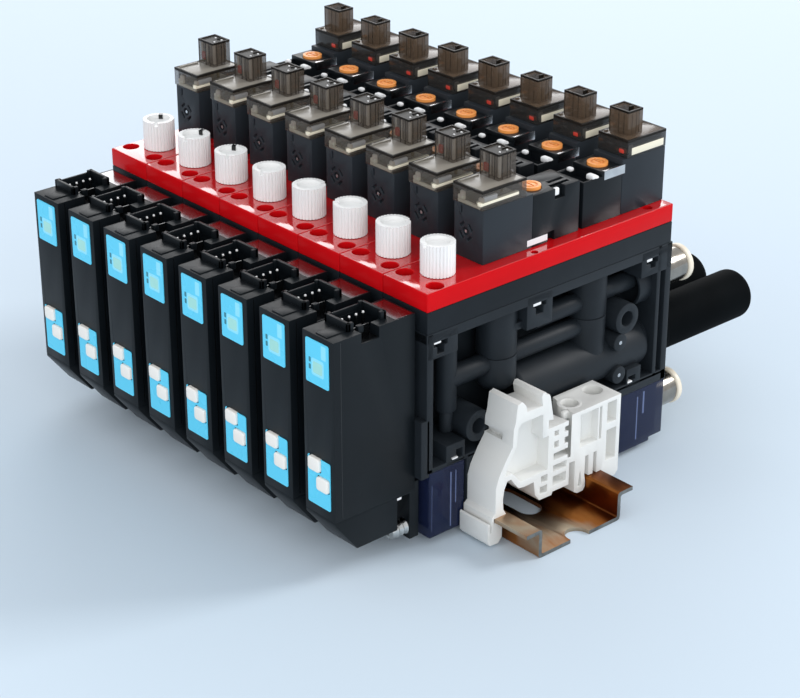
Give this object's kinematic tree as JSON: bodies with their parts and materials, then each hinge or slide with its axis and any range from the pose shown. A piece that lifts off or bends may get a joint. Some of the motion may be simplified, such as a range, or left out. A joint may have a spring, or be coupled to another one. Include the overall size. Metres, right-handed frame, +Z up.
{
  "type": "vacuum generator",
  "caption": "Rail-mounted manifold of vacuum generators with switches, needle knobs, pilot valves, filters, push-in fittings and silencers",
  "frame": {"origin": "centre of the rail's underside", "axes": "+X along the rail towards the first station, +Y to the tube fittings, +Z up"},
  "size_m": [0.16, 0.1402, 0.0888],
  "materials": {
    "red_plate": "glossy moulded",
    "black_body": "fine satin moulded",
    "black_gloss": "semi-gloss moulded",
    "white_knob": "knurled moulded",
    "white_clamp": "satin moulded",
    "smoky_cover": "smoky transparent",
    "cream_strip": "moulded",
    "orange_button": "moulded",
    "blue_case": "dark blue translucent",
    "cyan_film": "printed film",
    "key_white": "moulded",
    "nickel": "nickel plated",
    "gold_pins": "plated",
    "brass": "machined",
    "steel_screw": "threaded",
    "filter_felt": "sintered fibre",
    "chromated_rail": "yellow chromated"
  },
  "bodies": {
    "manifold": {"top_plates": "red_plate", "adapter_blocks": "black_body", "ejector_bodies": "black_body", "ejector_nozzles": "brass", "switch_housings": "black_gloss", "switch_films": "cyan_film", "switch_brackets": "black_gloss", "contact_pins": "gold_pins", "valve_bodies": "black_body", "coil_housings": "black_gloss", "connector_covers": "smoky_cover", "terminal_strips": "cream_strip", "filter_cases": "blue_case", "filter_elements": "filter_felt", "tube_fittings": "nickel", "release_rings": "cream_strip", "silencers": "black_body", "end_clamps": "white_clamp", "din_rail": "chromated_rail", "set_screws": "steel_screw"},
    "knob_1": {"knob_1": "white_knob"},
    "upper_key_1": {"upper_key_1": "key_white"},
    "lower_key_1": {"lower_key_1": "key_white"},
    "supply_override_1": {"supply_override_1": "orange_button"},
    "release_override_1": {"release_override_1": "orange_button"},
    "knob_2": {"knob_2": "white_knob"},
    "upper_key_2": {"upper_key_2": "key_white"},
    "lower_key_2": {"lower_key_2": "key_white"},
    "supply_override_2": {"supply_override_2": "orange_button"},
    "release_override_2": {"release_override_2": "orange_button"},
    "knob_3": {"knob_3": "white_knob"},
    "upper_key_3": {"upper_key_3": "key_white"},
    "lower_key_3": {"lower_key_3": "key_white"},
    "supply_override_3": {"supply_override_3": "orange_button"},
    "release_override_3": {"release_override_3": "orange_button"},
    "knob_4": {"knob_4": "white_knob"},
    "upper_key_4": {"upper_key_4": "key_white"},
    "lower_key_4": {"lower_key_4": "key_white"},
    "supply_override_4": {"supply_override_4": "orange_button"},
    "release_override_4": {"release_override_4": "orange_button"},
    "knob_5": {"knob_5": "white_knob"},
    "upper_key_5": {"upper_key_5": "key_white"},
    "lower_key_5": {"lower_key_5": "key_white"},
    "supply_override_5": {"supply_override_5": "orange_button"},
    "release_override_5": {"release_override_5": "orange_button"},
    "knob_6": {"knob_6": "white_knob"},
    "upper_key_6": {"upper_key_6": "key_white"},
    "lower_key_6": {"lower_key_6": "key_white"},
    "supply_override_6": {"supply_override_6": "orange_button"},
    "release_override_6": {"release_override_6": "orange_button"},
    "knob_7": {"knob_7": "white_knob"},
    "upper_key_7": {"upper_key_7": "key_white"},
    "lower_key_7": {"lower_key_7": "key_white"},
    "supply_override_7": {"supply_override_7": "orange_button"},
    "release_override_7": {"release_override_7": "orange_button"},
    "knob_8": {"knob_8": "white_knob"},
    "upper_key_8": {"upper_key_8": "key_white"},
    "lower_key_8": {"lower_key_8": "key_white"},
    "supply_override_8": {"supply_override_8": "orange_button"},
    "release_override_8": {"release_override_8": "orange_button"}
  },
  "joints": [
    {"name": "knob_1_turn", "type": "hinge", "parent": "manifold", "child": "knob_1", "pos_m": [0.0525, -0.0203, 0.0685], "axis": [0, 0, 1], "range_deg": [-540, 540]},
    {"name": "upper_key_1_press", "type": "slide", "parent": "manifold", "child": "upper_key_1", "axis": [0, 1, 0], "range_m": [0, 0.0005], "stiffness_N_per_m": 300},
    {"name": "lower_key_1_press", "type": "slide", "parent": "manifold", "child": "lower_key_1", "axis": [0, 1, 0], "range_m": [0, 0.0005], "stiffness_N_per_m": 300},
    {"name": "supply_override_1_press", "type": "slide", "parent": "manifold", "child": "supply_override_1", "axis": [0, 0, -1], "range_m": [0, 0.0007], "stiffness_N_per_m": 600},
    {"name": "release_override_1_press", "type": "slide", "parent": "manifold", "child": "release_override_1", "axis": [0, 0, -1], "range_m": [0, 0.0007], "stiffness_N_per_m": 600},
    {"name": "knob_2_turn", "type": "hinge", "parent": "manifold", "child": "knob_2", "pos_m": [0.0375, -0.0203, 0.0685], "axis": [0, 0, 1], "range_deg": [-540, 540]},
    {"name": "upper_key_2_press", "type": "slide", "parent": "manifold", "child": "upper_key_2", "axis": [0, 1, 0], "range_m": [0, 0.0005], "stiffness_N_per_m": 300},
    {"name": "lower_key_2_press", "type": "slide", "parent": "manifold", "child": "lower_key_2", "axis": [0, 1, 0], "range_m": [0, 0.0005], "stiffness_N_per_m": 300},
    {"name": "supply_override_2_press", "type": "slide", "parent": "manifold", "child": "supply_override_2", "axis": [0, 0, -1], "range_m": [0, 0.0007], "stiffness_N_per_m": 600},
    {"name": "release_override_2_press", "type": "slide", "parent": "manifold", "child": "release_override_2", "axis": [0, 0, -1], "range_m": [0, 0.0007], "stiffness_N_per_m": 600},
    {"name": "knob_3_turn", "type": "hinge", "parent": "manifold", "child": "knob_3", "pos_m": [0.0225, -0.0203, 0.0685], "axis": [0, 0, 1], "range_deg": [-540, 540]},
    {"name": "upper_key_3_press", "type": "slide", "parent": "manifold", "child": "upper_key_3", "axis": [0, 1, 0], "range_m": [0, 0.0005], "stiffness_N_per_m": 300},
    {"name": "lower_key_3_press", "type": "slide", "parent": "manifold", "child": "lower_key_3", "axis": [0, 1, 0], "range_m": [0, 0.0005], "stiffness_N_per_m": 300},
    {"name": "supply_override_3_press", "type": "slide", "parent": "manifold", "child": "supply_override_3", "axis": [0, 0, -1], "range_m": [0, 0.0007], "stiffness_N_per_m": 600},
    {"name": "release_override_3_press", "type": "slide", "parent": "manifold", "child": "release_override_3", "axis": [0, 0, -1], "range_m": [0, 0.0007], "stiffness_N_per_m": 600},
    {"name": "knob_4_turn", "type": "hinge", "parent": "manifold", "child": "knob_4", "pos_m": [0.0075, -0.0203, 0.0685], "axis": [0, 0, 1], "range_deg": [-540, 540]},
    {"name": "upper_key_4_press", "type": "slide", "parent": "manifold", "child": "upper_key_4", "axis": [0, 1, 0], "range_m": [0, 0.0005], "stiffness_N_per_m": 300},
    {"name": "lower_key_4_press", "type": "slide", "parent": "manifold", "child": "lower_key_4", "axis": [0, 1, 0], "range_m": [0, 0.0005], "stiffness_N_per_m": 300},
    {"name": "supply_override_4_press", "type": "slide", "parent": "manifold", "child": "supply_override_4", "axis": [0, 0, -1], "range_m": [0, 0.0007], "stiffness_N_per_m": 600},
    {"name": "release_override_4_press", "type": "slide", "parent": "manifold", "child": "release_override_4", "axis": [0, 0, -1], "range_m": [0, 0.0007], "stiffness_N_per_m": 600},
    {"name": "knob_5_turn", "type": "hinge", "parent": "manifold", "child": "knob_5", "pos_m": [-0.0075, -0.0203, 0.0685], "axis": [0, 0, 1], "range_deg": [-540, 540]},
    {"name": "upper_key_5_press", "type": "slide", "parent": "manifold", "child": "upper_key_5", "axis": [0, 1, 0], "range_m": [0, 0.0005], "stiffness_N_per_m": 300},
    {"name": "lower_key_5_press", "type": "slide", "parent": "manifold", "child": "lower_key_5", "axis": [0, 1, 0], "range_m": [0, 0.0005], "stiffness_N_per_m": 300},
    {"name": "supply_override_5_press", "type": "slide", "parent": "manifold", "child": "supply_override_5", "axis": [0, 0, -1], "range_m": [0, 0.0007], "stiffness_N_per_m": 600},
    {"name": "release_override_5_press", "type": "slide", "parent": "manifold", "child": "release_override_5", "axis": [0, 0, -1], "range_m": [0, 0.0007], "stiffness_N_per_m": 600},
    {"name": "knob_6_turn", "type": "hinge", "parent": "manifold", "child": "knob_6", "pos_m": [-0.0225, -0.0203, 0.0685], "axis": [0, 0, 1], "range_deg": [-540, 540]},
    {"name": "upper_key_6_press", "type": "slide", "parent": "manifold", "child": "upper_key_6", "axis": [0, 1, 0], "range_m": [0, 0.0005], "stiffness_N_per_m": 300},
    {"name": "lower_key_6_press", "type": "slide", "parent": "manifold", "child": "lower_key_6", "axis": [0, 1, 0], "range_m": [0, 0.0005], "stiffness_N_per_m": 300},
    {"name": "supply_override_6_press", "type": "slide", "parent": "manifold", "child": "supply_override_6", "axis": [0, 0, -1], "range_m": [0, 0.0007], "stiffness_N_per_m": 600},
    {"name": "release_override_6_press", "type": "slide", "parent": "manifold", "child": "release_override_6", "axis": [0, 0, -1], "range_m": [0, 0.0007], "stiffness_N_per_m": 600},
    {"name": "knob_7_turn", "type": "hinge", "parent": "manifold", "child": "knob_7", "pos_m": [-0.0375, -0.0203, 0.0685], "axis": [0, 0, 1], "range_deg": [-540, 540]},
    {"name": "upper_key_7_press", "type": "slide", "parent": "manifold", "child": "upper_key_7", "axis": [0, 1, 0], "range_m": [0, 0.0005], "stiffness_N_per_m": 300},
    {"name": "lower_key_7_press", "type": "slide", "parent": "manifold", "child": "lower_key_7", "axis": [0, 1, 0], "range_m": [0, 0.0005], "stiffness_N_per_m": 300},
    {"name": "supply_override_7_press", "type": "slide", "parent": "manifold", "child": "supply_override_7", "axis": [0, 0, -1], "range_m": [0, 0.0007], "stiffness_N_per_m": 600},
    {"name": "release_override_7_press", "type": "slide", "parent": "manifold", "child": "release_override_7", "axis": [0, 0, -1], "range_m": [0, 0.0007], "stiffness_N_per_m": 600},
    {"name": "knob_8_turn", "type": "hinge", "parent": "manifold", "child": "knob_8", "pos_m": [-0.0525, -0.0203, 0.0685], "axis": [0, 0, 1], "range_deg": [-540, 540]},
    {"name": "upper_key_8_press", "type": "slide", "parent": "manifold", "child": "upper_key_8", "axis": [0, 1, 0], "range_m": [0, 0.0005], "stiffness_N_per_m": 300},
    {"name": "lower_key_8_press", "type": "slide", "parent": "manifold", "child": "lower_key_8", "axis": [0, 1, 0], "range_m": [0, 0.0005], "stiffness_N_per_m": 300},
    {"name": "supply_override_8_press", "type": "slide", "parent": "manifold", "child": "supply_override_8", "axis": [0, 0, -1], "range_m": [0, 0.0007], "stiffness_N_per_m": 600},
    {"name": "release_override_8_press", "type": "slide", "parent": "manifold", "child": "release_override_8", "axis": [0, 0, -1], "range_m": [0, 0.0007], "stiffness_N_per_m": 600}
  ]
}
